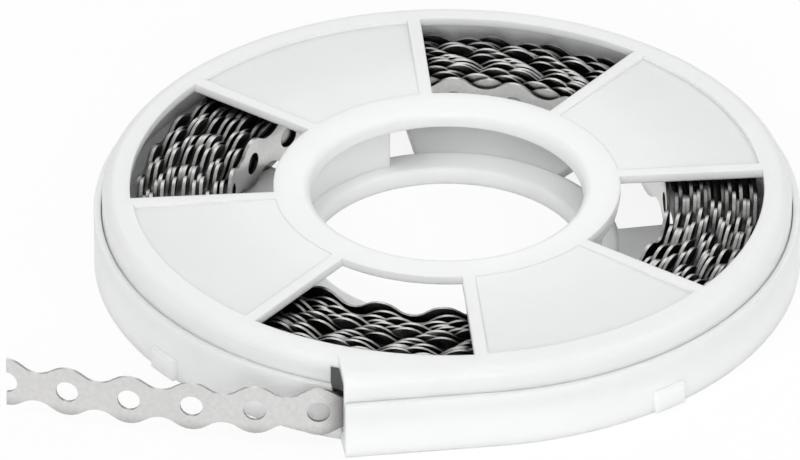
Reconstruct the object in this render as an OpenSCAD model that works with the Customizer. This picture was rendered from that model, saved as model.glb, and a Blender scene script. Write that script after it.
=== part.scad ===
// Perforated steel strap coiled in a two-half plastic dispenser, its free end out of the mouth
// Lengths in millimetres; the hub axis is Z and the dispenser stands on z = 0

/* [Strap] */
// Width over the waves
strap_w = 12; // [11:0.5:13]
// Width at the waists between the holes
waist_w = 7.1; // [6.6:0.1:7.8]
// Sheet thickness
strap_t = 0.75; // [0.6:0.05:0.9]
// Hole diameter
hole_d = 5.2; // [4.2:0.1:5.6]
// Spacing of the holes
hole_pitch = 14.2; // [13.8:0.1:15]
// Full holes outside the mouth
free_holes = 5; // [3:1:6]
// First free hole past the mouth
first_hole = 4.5; // [4:0.5:7]
// Bend radius of the free end
tail_r = 230; // [200:10:400]

/* [Coil] */
// Turns in the coil
turns = 25; // [15:2:27]
// Gap between neighbouring turns
turn_gap = 0.05; // [0.02:0.01:0.08]
// Height by which every other turn stays back
turn_step = 1.2; // [0.6:0.2:2]

/* [Dispenser] */
// Outer radius of the lower half
lower_r = 80; // [79:0.5:82]
// Wall thickness of the lower half
wall_t = 1.6; // [1.4:0.1:2]
// Thickness of the floor and of the top plate
plate_t = 2; // [1.6:0.1:2.4]
// Depth of the recess under the floor
foot_h = 1; // [0.6:0.1:1.4]
// Room above the coil
headroom = 2.3; // [2:0.1:3]
// Wall of the upper half that shows above the lip
band_h = 6; // [5:0.5:7]
// Rounding of the upper rim
rim_round = 3; // [2:0.5:3.5]
// Length of the straight wall at the mouth
mouth_len = 34.2; // [33:0.2:36]

/* [Openings] */
// Radius of the hub hole
hub_r = 31; // [29:0.5:32]
// Width of the hub rings
hub_w = 7.9; // [7:0.1:9]
// Width of the rim outside the upper windows
rim_w = 6.3; // [6:0.1:8]
// Half angle of each upper window
window_half = 20.8; // [18:0.2:22]
// Width of the floor and wall outside the lower windows
floor_rim = 15; // [14:0.5:20]
// Half angle of each lower window
vent_half = 20; // [18:0.5:22]
// Width of the ribs beside the upper windows
rib_w = 3; // [2:0.2:4]
// Depth of the sunk panels at the rim
panel_drop = 0.9; // [0.5:0.1:1.1]

/* [Hidden] */
$fn = 96;
sectors = 4;
window_turn = 246;
vent_turn = 22;
reach = 2 * lower_r;

// Heights
floor_z = foot_h + plate_t;
strap_mid = floor_z + strap_w / 2;
plate_z = floor_z + strap_w + headroom;
top_z = plate_z + plate_t;
lip_z = top_z - band_h;
seat_drop = 4.3;
seat_z = lip_z - seat_drop;

// Radii of the walls
lip_gap = 0.3;
skirt_t = 1.5;
upper_r = lower_r - wall_t - lip_gap;
seat_r = upper_r - skirt_t;
foot_r = seat_r - 1;
window_r = upper_r - rim_w;
vent_r = lower_r - floor_rim;
mouth_cut = mouth_len + 1.8;
blend = 0.05;
ring_r = hub_r + hub_w;
vent_in = ring_r + 0.6;
window_in = ring_r + 0.4;

// Hub rings
hub_round = 2;
hub_low_h = floor_z + 1;
hub_top_h = 2 * plate_t;
arc_steps = 6;

// Sunk panels
panel_half = 180 / sectors - window_half;
panel_edge = 0.15;
panel_r = window_r - 0.4;
panel_apex = rib_w / sin(panel_half);

// Hub guard inside the lower half
guard_r = hub_r + 5.5;
guard_t = 2;
guard_top = strap_mid + 5;
guard_half = 26;
guard_turn = 130;

// Snap tabs outside the lower half
tab_w = 8;
tab_h = 5;
tab_out = 1.2;
tab_z = 0.4;
tab_turn = 30;

// Coil
turn_p = strap_t + turn_gap;
coil_room = 8.5;
coil_ro = lower_r - coil_room;
coil_ri = coil_ro - turns * turn_p;

// Outline of the strap: round waves about the holes, round waists between them
wave_r = strap_w / 2;
waist_bite = 0.2;
waist_touch = (pow(hole_pitch / 2, 2) + pow(waist_w / 2, 2) - pow(wave_r, 2)) / (strap_w - waist_w);
waist_r = waist_touch + waist_bite;
waist_off = waist_w / 2 + waist_r;
web_half = wave_r * (waist_w / 2 + waist_touch) / (wave_r + waist_touch);

// Path of the strap: it leaves the coil on one arc and passes the mouth on a wider one
leave_turn = 300;
sink = 0.4;
leave_r = coil_ro - strap_t / 2 - sink;
leave_n = [cos(leave_turn), sin(leave_turn)];
leave_p = leave_r * leave_n;
mouth_p = [-mouth_len - 0.8, -lower_r + 5.2];
run = mouth_p - leave_p;
lead_r = -(run * run) / (2 * (run * leave_n));
lead_c = leave_p - lead_r * leave_n;
mouth_n = (mouth_p - lead_c) / lead_r;
mouth_turn = 360 + atan2(mouth_n[1], mouth_n[0]);
tail_c = mouth_p - tail_r * mouth_n;
tail_len = first_hole + free_holes * hole_pitch;
inner_holes = 3;
cut_h = strap_t + 0.6;
lap_t = 0.04;
lap_s = 0.5;
plain_s = first_hole - (inner_holes + 0.5) * hole_pitch;

plastic = [0.93, 0.94, 0.94];
steel = [0.66, 0.67, 0.68];

// Angle in degrees of a length s along an arc of radius r
function arc_deg(s, r) = s / r * 180 / PI;

// Quarter round from angle a to a + 90 about [x, y]
function quarter(x, y, r, a) =
    [for (i = [0:arc_steps]) [x + r * cos(a + 90 * i / arc_steps), y + r * sin(a + 90 * i / arc_steps)]];

// Section of the upper half from radius r_in out to the skirt
function upper_section(r_in) = concat(
    [[r_in, plate_z], [seat_r, plate_z], [seat_r, seat_z], [upper_r, seat_z]],
    quarter(upper_r - rim_round, top_z - rim_round, rim_round, 0),
    [[r_in, top_z]]
);

// Section of a hub ring between two heights with its upper edges rounded
function hub_section(z0, z1, r_out, round_in, round_out) = concat(
    [[hub_r, z0], [r_out, z0]],
    round_out > 0 ? quarter(r_out - round_out, z1 - round_out, round_out, 0) : [[r_out, z1]],
    quarter(hub_r + round_in, z1 - round_in, round_in, 90)
);

// Section of the coil, every other turn staying back at both ends
function turn_back(i) = i % 2 == 0 ? 0 : turn_step;
function turn_in(i) = coil_ri + i * turn_p;
function coil_top() = [for (i = [0:turns - 1], k = [0, 1])
    [turn_in(i + k), floor_z + strap_w - turn_back(i)]];
function coil_bottom() = [for (i = [turns - 1:-1:0], k = [1, 0])
    [turn_in(i + k), floor_z + turn_back(i)]];

module tube(r_out, r_in, z0, z1) {
    translate([0, 0, z0])
    difference() {
        cylinder(h = z1 - z0, r = r_out);
        translate([0, 0, -1])
        cylinder(h = z1 - z0 + 2, r = r_in);
    }
}

// Wedge about the X axis with its point at the given distance
module wedge(half, apex, z0, z1) {
    side = (reach - apex) * tan(half);
    translate([0, 0, z0])
    linear_extrude(height = z1 - z0)
    polygon([[apex, 0], [reach, -side], [reach, side]]);
}

module ring_sector(r_out, r_in, half, z0, z1) {
    intersection() {
        tube(r_out, r_in, z0, z1);
        wedge(half, 0, z0 - 1, z1 + 1);
    }
}

// Round body with the straight mouth beside it, the mouth reaching out by len
module mouth_body(r, len, z0, z1) {
    translate([0, 0, z0])
    cylinder(h = z1 - z0, r = r);
    translate([-len, blend - r, z0])
    cube([len, r, z1 - z0]);
}

module lower_shell() {
    color(plastic) {
        difference() {
            mouth_body(lower_r, mouth_len, 0, lip_z);
            mouth_body(lower_r - wall_t, mouth_cut, seat_z, lip_z + 1);
            mouth_body(seat_r, mouth_cut, floor_z, seat_z + 1);
            tube(foot_r, hub_r - 1, -1, foot_h);
            for (i = [0:sectors - 1])
                rotate([0, 0, vent_turn + i * 360 / sectors])
                ring_sector(vent_r, vent_in, vent_half, 0, floor_z + 1);
            translate([0, 0, -1])
            cylinder(h = floor_z + 2, r = hub_r);
        }
        rotate_extrude()
        polygon(hub_section(0, hub_low_h, ring_r, 1, 1));
        for (i = [0, 1])
            rotate([0, 0, guard_turn + i * 180])
            ring_sector(guard_r, guard_r - guard_t, guard_half, floor_z, guard_top);
        for (i = [0:sectors - 1])
            rotate([0, 0, tab_turn + i * 360 / sectors])
            translate([lower_r - wall_t, -tab_w / 2, tab_z])
            cube([wall_t + tab_out, tab_w, tab_h]);
    }
}

module sunk_panel() {
    intersection() {
        rotate_extrude()
        polygon([
            [window_in, top_z - panel_edge],
            [panel_r, top_z - panel_drop],
            [panel_r, top_z + 1],
            [window_in, top_z + 1]
        ]);
        wedge(panel_half, panel_apex, top_z - plate_t, top_z + 2);
    }
}

module upper_shell() {
    color(plastic)
    difference() {
        union() {
            rotate_extrude()
            polygon(upper_section(ring_r - 1));
            difference() {
                rotate([90, 0, -90])
                linear_extrude(height = mouth_len)
                polygon(upper_section(window_r - 12));
                translate([0, 0, seat_z - 1])
                cylinder(h = top_z, r = window_r);
            }
            rotate_extrude()
            polygon(hub_section(top_z - hub_top_h, top_z, ring_r, hub_round, 0));
        }
        translate([-mouth_cut, -seat_r, seat_z - 1])
        cube([mouth_cut, seat_r, plate_z - seat_z + 1]);
        for (i = [0:sectors - 1]) {
            rotate([0, 0, window_turn + i * 360 / sectors])
            ring_sector(window_r, window_in, window_half, plate_z - 1, top_z + 1);
            rotate([0, 0, window_turn + (i + 0.5) * 360 / sectors])
            sunk_panel();
        }
    }
}

// Places children on the strap at length s from the mouth, their Z along the thickness
module on_strap(s) {
    c = s < 0 ? lead_c : tail_c;
    r = s < 0 ? lead_r : tail_r;
    translate([c[0], c[1], strap_mid])
    rotate([0, 0, mouth_turn - arc_deg(s, r)])
    translate([r, 0, 0])
    rotate([0, 90, 0])
    children();
}

// Band of the strap between two lengths; the arc from the coil ends inside the free one
module band(s0, s1, half) {
    c = s0 < 0 ? lead_c : tail_c;
    r = s0 < 0 ? lead_r : tail_r;
    t = s0 < 0 ? strap_t - 2 * lap_t : strap_t;
    translate([c[0], c[1], strap_mid])
    rotate([0, 0, mouth_turn - arc_deg(s1, r)])
    rotate_extrude(angle = arc_deg(s1 - s0, r))
    translate([r - t / 2, -half])
    square([t, 2 * half]);
}

module free_end() {
    lead_len = (leave_turn - mouth_turn) * PI / 180 * lead_r;
    difference() {
        union() {
            band(plain_s - lap_s, lap_s, web_half);
            band(0, tail_len, web_half);
            band(-lead_len, plain_s, wave_r);
            intersection() {
                union() {
                    band(plain_s, lap_s, strap_w);
                    band(0, tail_len, strap_w);
                }
                for (i = [-inner_holes:free_holes])
                    on_strap(first_hole + i * hole_pitch)
                    cylinder(h = cut_h, r = wave_r, center = true);
            }
        }
        for (i = [-inner_holes:free_holes])
            on_strap(first_hole + i * hole_pitch)
            cylinder(h = cut_h, r = hole_d / 2, center = true);
        for (i = [-inner_holes:free_holes - 1], side = [-1, 1])
            on_strap(first_hole + (i + 0.5) * hole_pitch)
            translate([side * waist_off, 0, 0])
            cylinder(h = cut_h, r = waist_r, center = true);
    }
}

module strap() {
    color(steel) {
        rotate_extrude()
        polygon(concat(coil_top(), coil_bottom()));
        free_end();
    }
}

lower_shell();
upper_shell();
strap();
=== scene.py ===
import math

import bmesh
import bpy
import numpy as np
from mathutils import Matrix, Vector


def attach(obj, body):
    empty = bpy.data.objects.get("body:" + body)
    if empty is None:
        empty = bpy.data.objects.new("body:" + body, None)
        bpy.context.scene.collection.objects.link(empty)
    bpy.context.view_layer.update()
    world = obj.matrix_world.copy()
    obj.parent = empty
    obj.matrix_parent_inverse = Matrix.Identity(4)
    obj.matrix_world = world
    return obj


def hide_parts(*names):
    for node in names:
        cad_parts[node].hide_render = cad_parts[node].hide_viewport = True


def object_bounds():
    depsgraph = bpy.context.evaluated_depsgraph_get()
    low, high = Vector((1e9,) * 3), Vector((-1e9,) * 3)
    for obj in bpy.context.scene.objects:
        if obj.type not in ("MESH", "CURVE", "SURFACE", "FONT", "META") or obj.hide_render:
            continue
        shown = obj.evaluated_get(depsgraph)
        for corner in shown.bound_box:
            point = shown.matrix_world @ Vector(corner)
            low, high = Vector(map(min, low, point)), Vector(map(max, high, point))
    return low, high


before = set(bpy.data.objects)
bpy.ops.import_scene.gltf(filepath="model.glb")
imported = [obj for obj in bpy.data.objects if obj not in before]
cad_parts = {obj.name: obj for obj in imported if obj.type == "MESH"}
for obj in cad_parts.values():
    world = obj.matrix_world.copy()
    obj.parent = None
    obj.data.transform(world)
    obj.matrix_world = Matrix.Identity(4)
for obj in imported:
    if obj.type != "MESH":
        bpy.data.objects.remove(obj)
cad_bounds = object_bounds()
scene = bpy.context.scene
MM = 0.001

# Strap, in millimetres as in the CAD
STRAP_W, WAIST_W, STRAP_T = 12.0, 7.1, 0.75
HOLE_D, PITCH = 5.2, 14.2
FREE_HOLES, FIRST_HOLE, TAIL_R = 5, 4.5, 230.0
STRAP_MID = 9.0

# Coil, and the mouth of the dispenser, in millimetres as in the CAD
TURNS, TURN_STEP, COIL_R, COIL_GAP = 25, 0.8, 71.5, 0.4
LEAVE = math.radians(300)
LOWER_R, MOUTH_LEN = 80.0, 34.2
MOUTH_OUT, MOUTH_IN = 0.8, 5.2

# How the turns lie: uneven heights, loose inner turns on the near side, a coil a little off the hub's axis
LIFT_SEED, LIFT_MAX = 7, 1.5
LOOSE_TURNS, LOOSE_EASE, LOOSE_GAP = 2.2, 2.0, 3.2
FAR_SIDE = math.radians(82)
DRIFT_X, DRIFT_Y = 0.1, 1.1
INNER_END = 10.0

# Fineness of the strap's mesh, and of the table of lengths along the coil
HOLE_STEPS, EDGE_STEPS = 8, 6
TABLE_STEPS, TABLE_PAST, TURN_NUDGE = 60000, 0.4, 0.0005
MERGE_DIST = 1e-6
SHARP_ANGLE = math.radians(40)

# Colours from the darkest to the lightest of the mottling, and the roughness with them
PLASTIC = {"low": (0.885, 0.90, 0.895, 1), "high": (0.90, 0.915, 0.91, 1), "rough": (0.34, 0.42)}
STEEL = {"low": (0.68, 0.675, 0.665, 1), "high": (0.74, 0.735, 0.725, 1), "rough": (0.30, 0.38)}
# The punched edges' steel is darker all over: painted shade, standing in for the darker reflection the
# edges show
PAINTED_EDGE_SHADE = {"low": (0.46, 0.455, 0.445, 1), "high": (0.58, 0.575, 0.565, 1), "rough": (0.33, 0.41)}
PLASTIC_GRAIN, STEEL_GRAIN = 90.0, 900.0
RAMP_ENDS = (0.35, 0.65)
RAY_SAMPLES = 4

# Depth that light reaches in plastic, rounding of its edges, and reach of the shade painted into the steel
# between turns, in metres
PLASTIC_DEPTH, PLASTIC_ROUND, GAP_SHADE_REACH = 0.006, 0.0005, 0.006

# Floor: size and drop in metres, paleness, and the share of plain white that the eye sees
FLOOR_SIZE, FLOOR_DROP = 20.0, 0.0002
FLOOR_PALE, FLOOR_GLOW = 0.93, 0.88
WORLD_LIGHT = 0.62

# Camera: direction, distance in metres and lens in millimetres, and the hub's top in the photograph
AZ, EL = math.radians(-8), math.radians(32.2)
DIST, LENS, SENSOR, CLIP_END = 3.62, 720.0, 36.0, 50.0
IMAGE_W, IMAGE_H = 800, 460
HUB_PX = (447.0, 184.0)

# Path of the strap, as in the CAD: coil, arc from the coil to the mouth, wider arc outside
leave_r = COIL_R - STRAP_T / 2 - COIL_GAP
leave_n = np.array([math.cos(LEAVE), math.sin(LEAVE)])
leave_p = leave_r * leave_n
mouth_p = np.array([-MOUTH_LEN - MOUTH_OUT, -LOWER_R + MOUTH_IN])
run = mouth_p - leave_p
lead_r = -(run @ run) / (2 * (run @ leave_n))
lead_c = leave_p - lead_r * leave_n
mouth_n = (mouth_p - lead_c) / lead_r
mouth_a = math.atan2(mouth_n[1], mouth_n[0]) % (2 * math.pi)
tail_c = mouth_p - TAIL_R * mouth_n
lead_len = (LEAVE - mouth_a) * lead_r
tail_len = FIRST_HOLE + FREE_HOLES * PITCH


def smooth(x):
    """Eases from 0 to 1 as x goes from 0 to 1."""
    x = np.clip(x, 0.0, 1.0)
    return x * x * (3 - 2 * x)


def turn_lifts():
    """Height of each turn over the lowest place, from the outermost turn inwards."""
    lifts = np.random.default_rng(LIFT_SEED).uniform(0.0, LIFT_MAX, TURNS + 3)
    lifts[0] = 0.0
    return lifts


LIFTS = turn_lifts()


def coil_points(turn):
    """Plan position and lift of the wound strap, by the number of turns wound from the outside."""
    a = LEAVE + 2 * math.pi * turn
    loose = smooth((turn - (TURNS - LOOSE_TURNS)) / LOOSE_EASE)
    near = 0.5 - 0.5 * np.cos(a - FAR_SIDE)
    r = leave_r - TURN_STEP * turn - LOOSE_GAP * loose * near
    drift = turn / TURNS * smooth(turn)
    x = r * np.cos(a) + DRIFT_X * drift
    y = r * np.sin(a) + DRIFT_Y * drift
    k = np.floor(turn).astype(int)
    z = LIFTS[k] + (LIFTS[k + 1] - LIFTS[k]) * smooth(turn - k)
    return np.stack([x, y], axis=-1), z


def coil_table():
    """Turns, and the length along the coil to each, inwards from where the strap leaves it."""
    turn = np.linspace(0.0, TURNS + TABLE_PAST, TABLE_STEPS)
    steps = np.diff(coil_points(turn)[0], axis=0)
    return turn, np.concatenate([[0.0], np.cumsum(np.linalg.norm(steps, axis=1))])


TURN_AT, LENGTH_AT = coil_table()


def on_arc(s, centre, radius):
    """Plan position and outward normal at lengths s from the mouth, on an arc through it."""
    a = mouth_a - s / radius
    n = np.stack([np.cos(a), np.sin(a)], axis=-1)
    return centre + radius * n, n


def on_coil(s):
    """Plan position, outward normal and lift at lengths s from the mouth, on the coil."""
    turn = np.interp(-lead_len - s, LENGTH_AT, TURN_AT)
    p, z = coil_points(turn)
    along = coil_points(turn + TURN_NUDGE)[0] - p
    along = along / np.linalg.norm(along, axis=-1, keepdims=True)
    return p, np.stack([along[:, 1], -along[:, 0]], axis=-1), z


def path(s):
    """Plan position, outward normal and lift at lengths s from the mouth, positive outside."""
    p = np.zeros((len(s), 2))
    n = np.zeros((len(s), 2))
    z = np.zeros(len(s))
    outside = s >= 0
    wound = s < -lead_len
    lead = ~outside & ~wound
    p[outside], n[outside] = on_arc(s[outside], tail_c, TAIL_R)
    p[lead], n[lead] = on_arc(s[lead], lead_c, lead_r)
    p[wound], n[wound], z[wound] = on_coil(s[wound])
    return p, n, z


def half_height(u):
    """Half the strap's width at distance u from a hole: round waves, round waists."""
    w, p = STRAP_W / 2, PITCH / 2
    waist_r = (p ** 2 + (WAIST_W / 2) ** 2 - w ** 2) / (STRAP_W - WAIST_W)
    touch = w * p / (w + waist_r)
    if u <= touch:
        return math.sqrt(w * w - u * u)
    return WAIST_W / 2 + waist_r - math.sqrt(waist_r ** 2 - (p - u) ** 2)


def half_cell(side):
    """Flat pattern on one side of a hole: points, triangles, edges, and the cut across the hole."""
    angles = [math.pi * i / HOLE_STEPS for i in range(HOLE_STEPS + 1)]
    hole = [(side * HOLE_D / 2 * math.sin(a), HOLE_D / 2 * math.cos(a)) for a in angles]
    us = [PITCH / 2 * i / EDGE_STEPS for i in range(EDGE_STEPS + 1)]
    outer = [(side * u, half_height(u)) for u in us]
    outer += [(side * u, -half_height(u)) for u in reversed(us)]
    hole_at = [math.atan2(abs(x), y) for x, y in hole]
    outer_at = [math.atan2(abs(x), y) for x, y in outer]
    first, last_i, last_j = len(hole), len(hole) - 1, len(outer) - 1
    tris, i, j = [], 0, 0
    while i < last_i or j < last_j:
        if j == last_j or (i < last_i and hole_at[i + 1] <= outer_at[j + 1]):
            tris.append((i, i + 1, first + j))
            i += 1
        else:
            tris.append((i, first + j + 1, first + j))
            j += 1
    if side > 0:
        tris = [(a, c, b) for a, b, c in tris]
    edges = [(first + k, first + k + 1) for k in range(last_j) if k != EDGE_STEPS]
    edges += [(k, k + 1) for k in range(HOLE_STEPS)]
    cut = [(first, 0), (HOLE_STEPS, first + last_j)]
    return np.array(hole + outer), tris, edges, cut


def strap_mesh():
    """The whole strap, wound and free, with its waves, holes and thickness."""
    verts, faces, base = [], [], 0
    wound_len = np.interp(TURNS, TURN_AT, LENGTH_AT)
    cells = int((lead_len + wound_len - INNER_END) // PITCH) + FREE_HOLES
    # The free end is cut through a hole, which keeps only its inner side
    for side, first_cell in ((-1, 0), (1, 1)):
        points, tris, edges, cut = half_cell(side)
        back = len(points)
        for i in range(first_cell, cells + 1):
            p, n, z = path(tail_len - i * PITCH + points[:, 0])
            for off in (STRAP_T / 2, -STRAP_T / 2):
                verts.append(np.column_stack([p + n * off, STRAP_MID + z + points[:, 1]]))
            faces += [(base + a, base + b, base + c) for a, b, c in tris]
            faces += [(base + back + c, base + back + b, base + back + a) for a, b, c in tris]
            sides = edges + cut if i == 0 else edges
            faces += [(base + a, base + b, base + back + b, base + back + a) for a, b in sides]
            base += 2 * back
    mesh = bpy.data.meshes.new("strap_wound")
    mesh.from_pydata((np.concatenate(verts) * MM).tolist(), [], faces)
    bm = bmesh.new()
    bm.from_mesh(mesh)
    bmesh.ops.remove_doubles(bm, verts=bm.verts, dist=MERGE_DIST)
    bmesh.ops.recalc_face_normals(bm, faces=bm.faces)
    # Only the punched edges have four corners, and they take the second material
    for face in bm.faces:
        face.material_index = int(len(face.verts) == 4)
    bm.to_mesh(mesh)
    bm.free()
    mesh.shade_smooth()
    mesh.set_sharp_from_angle(angle=SHARP_ANGLE)
    return mesh


def node(tree, kind, **inputs):
    """A new node with some inputs set, where an underscore in a name stands for a space."""
    new = tree.nodes.new(kind)
    for name, value in inputs.items():
        new.inputs[name.replace("_", " ")].default_value = value
    return new


def math_node(tree, operation, first, second):
    """The output of a new math node, whose two inputs are each a socket or a number."""
    new = node(tree, "ShaderNodeMath")
    new.operation = operation
    for socket, value in zip(new.inputs, (first, second)):
        if isinstance(value, float):
            socket.default_value = value
        else:
            tree.links.new(value, socket)
    return new.outputs["Value"]


def new_material(name):
    """A material, its node tree and its main shader."""
    mat = bpy.data.materials.new(name)
    mat.use_nodes = True
    return mat, mat.node_tree, mat.node_tree.nodes["Principled BSDF"]


def mottled(tree, shader, scale, low, high, rough):
    """Colour and roughness that vary a little over the surface."""
    coords = node(tree, "ShaderNodeTexCoord")
    noise = node(tree, "ShaderNodeTexNoise", Scale=scale, Detail=4.0)
    ramp = node(tree, "ShaderNodeValToRGB")
    for element, colour, position in zip(ramp.color_ramp.elements, (low, high), RAMP_ENDS):
        element.color = colour
        element.position = position
    roughness = node(tree, "ShaderNodeMapRange", To_Min=rough[0], To_Max=rough[1])
    tree.links.new(coords.outputs["Object"], noise.inputs["Vector"])
    tree.links.new(noise.outputs["Fac"], ramp.inputs["Fac"])
    tree.links.new(noise.outputs["Fac"], roughness.inputs["Value"])
    tree.links.new(ramp.outputs["Color"], shader.inputs["Base Color"])
    tree.links.new(roughness.outputs["Result"], shader.inputs["Roughness"])


def plastic(name):
    """Milky plastic with softly rounded edges."""
    mat, tree, shader = new_material(name)
    shader.inputs["Subsurface Weight"].default_value = 0.5
    shader.inputs["Subsurface Radius"].default_value = (1.0, 1.0, 1.0)
    shader.inputs["Subsurface Scale"].default_value = PLASTIC_DEPTH
    mottled(tree, shader, PLASTIC_GRAIN, **PLASTIC)
    bevel = node(tree, "ShaderNodeBevel", Radius=PLASTIC_ROUND)
    bevel.samples = RAY_SAMPLES
    tree.links.new(bevel.outputs["Normal"], shader.inputs["Normal"])
    return mat


def steel(name, look):
    """Satin steel with painted shade: its colour is darkened in the gaps between the turns."""
    mat, tree, shader = new_material(name)
    shader.inputs["Metallic"].default_value = 1.0
    mottled(tree, shader, STEEL_GRAIN, **look)
    colour = shader.inputs["Base Color"].links[0].from_socket
    # Painted shade: the colour is multiplied darker where other steel lies close, in the gaps between the
    # turns
    gap_shade_ao = node(tree, "ShaderNodeAmbientOcclusion", Distance=GAP_SHADE_REACH)
    gap_shade_ao.samples = RAY_SAMPLES
    shade = node(tree, "ShaderNodeMapRange", From_Min=0.5, From_Max=1.0, To_Min=0.04, To_Max=1.0)
    gap_shade_mix = node(tree, "ShaderNodeMix")
    gap_shade_mix.data_type = "RGBA"
    gap_shade_mix.blend_type = "MULTIPLY"
    gap_shade_mix.inputs["Factor"].default_value = 1.0
    # A mix node names its sockets alike for every kind of data, so the colour ones go by number
    colour_a, colour_b, colour_out = gap_shade_mix.inputs[6], gap_shade_mix.inputs[7], gap_shade_mix.outputs[2]
    tree.links.new(gap_shade_ao.outputs["AO"], shade.inputs["Value"])
    tree.links.new(colour, colour_a)
    tree.links.new(shade.outputs["Result"], colour_b)
    tree.links.new(colour_out, shader.inputs["Base Color"])
    return mat


def floor_material(name):
    """White to the eye and in the steel, while it bounces light and keeps a faint shadow."""
    mat, tree, shader = new_material(name)
    shader.inputs["Base Color"].default_value = (FLOOR_PALE, FLOOR_PALE, FLOOR_PALE, 1)
    shader.inputs["Roughness"].default_value = 1.0
    glow = node(tree, "ShaderNodeEmission", Color=(1, 1, 1, 1), Strength=1.0)
    rays = node(tree, "ShaderNodeLightPath").outputs
    seen = math_node(tree, "MAXIMUM", rays["Is Camera Ray"], rays["Is Glossy Ray"])
    seen = math_node(tree, "MAXIMUM", seen, rays["Is Transmission Ray"])
    mix = node(tree, "ShaderNodeMixShader")
    tree.links.new(math_node(tree, "MULTIPLY", seen, FLOOR_GLOW), mix.inputs["Fac"])
    tree.links.new(shader.outputs["BSDF"], mix.inputs[1])
    tree.links.new(glow.outputs["Emission"], mix.inputs[2])
    tree.links.new(mix.outputs["Shader"], tree.nodes["Material Output"].inputs["Surface"])
    return mat


def white_world():
    """Even white light from all round."""
    world = bpy.data.worlds.new("world")
    world.use_nodes = True
    background = world.node_tree.nodes["Background"]
    background.inputs["Color"].default_value = (1, 1, 1, 1)
    background.inputs["Strength"].default_value = WORLD_LIGHT
    return world


def area(name, place, size, power):
    """A round lamp that faces the hub."""
    data = bpy.data.lights.new(name, "AREA")
    data.shape = "DISK"
    data.size = size
    data.energy = power
    light = bpy.data.objects.new(name, data)
    light.location = place
    light.rotation_euler = (-Vector(place)).to_track_quat("-Z", "Y").to_euler()
    scene.collection.objects.link(light)


def photo_camera():
    """The photograph's view, from so far off that it has almost no perspective."""
    back = Vector((math.sin(AZ) * math.cos(EL), -math.cos(AZ) * math.cos(EL), math.sin(EL)))
    right = (-back).cross(Vector((0, 0, 1))).normalized()
    up = right.cross(-back)
    pixel = DIST * SENSOR / LENS / IMAGE_W
    hub_top = Vector((0, 0, cad_bounds[1][2]))
    aim = hub_top - right * (HUB_PX[0] - IMAGE_W / 2) * pixel - up * (IMAGE_H / 2 - HUB_PX[1]) * pixel
    data = bpy.data.cameras.new("camera")
    data.lens = LENS
    data.sensor_width = SENSOR
    data.clip_end = CLIP_END
    camera = bpy.data.objects.new("camera", data)
    camera.location = aim + back * DIST
    camera.rotation_euler = (-back).to_track_quat("-Z", "Y").to_euler()
    scene.collection.objects.link(camera)
    return camera


# Shells: the CAD nodes in white plastic
white = plastic("white_plastic")
for name in ("lower_shell", "upper_shell"):
    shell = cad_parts[name]
    shell.data.materials.clear()
    shell.data.materials.append(white)

# Strap: flat faces first, then the punched edges, whose darker steel colour is painted shade standing in
# for the darker reflection they show
strap = bpy.data.objects.new("strap_wound", strap_mesh())
scene.collection.objects.link(strap)
strap.data.materials.append(steel("strap_steel", STEEL))
strap.data.materials.append(steel("strap_edge_painted_shade", PAINTED_EDGE_SHADE))
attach(strap, "root")
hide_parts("strap")

# Floor, light and camera
bpy.ops.mesh.primitive_plane_add(size=FLOOR_SIZE, location=(0, 0, -FLOOR_DROP))
floor = bpy.context.object
floor.name = "floor"
floor.data.materials.append(floor_material("floor_white"))
scene.world = white_world()
area("key", (-0.5, -0.5, 0.9), size=0.6, power=2.2)
area("fill", (0.8, -0.2, 0.8), size=0.8, power=2.0)
area("back", (0.1, 0.9, 0.7), size=0.7, power=1.4)
area("front", (-0.20, -1.3, 0.52), size=0.6, power=5.2)
scene.camera = photo_camera()
scene.view_settings.view_transform = "Standard"
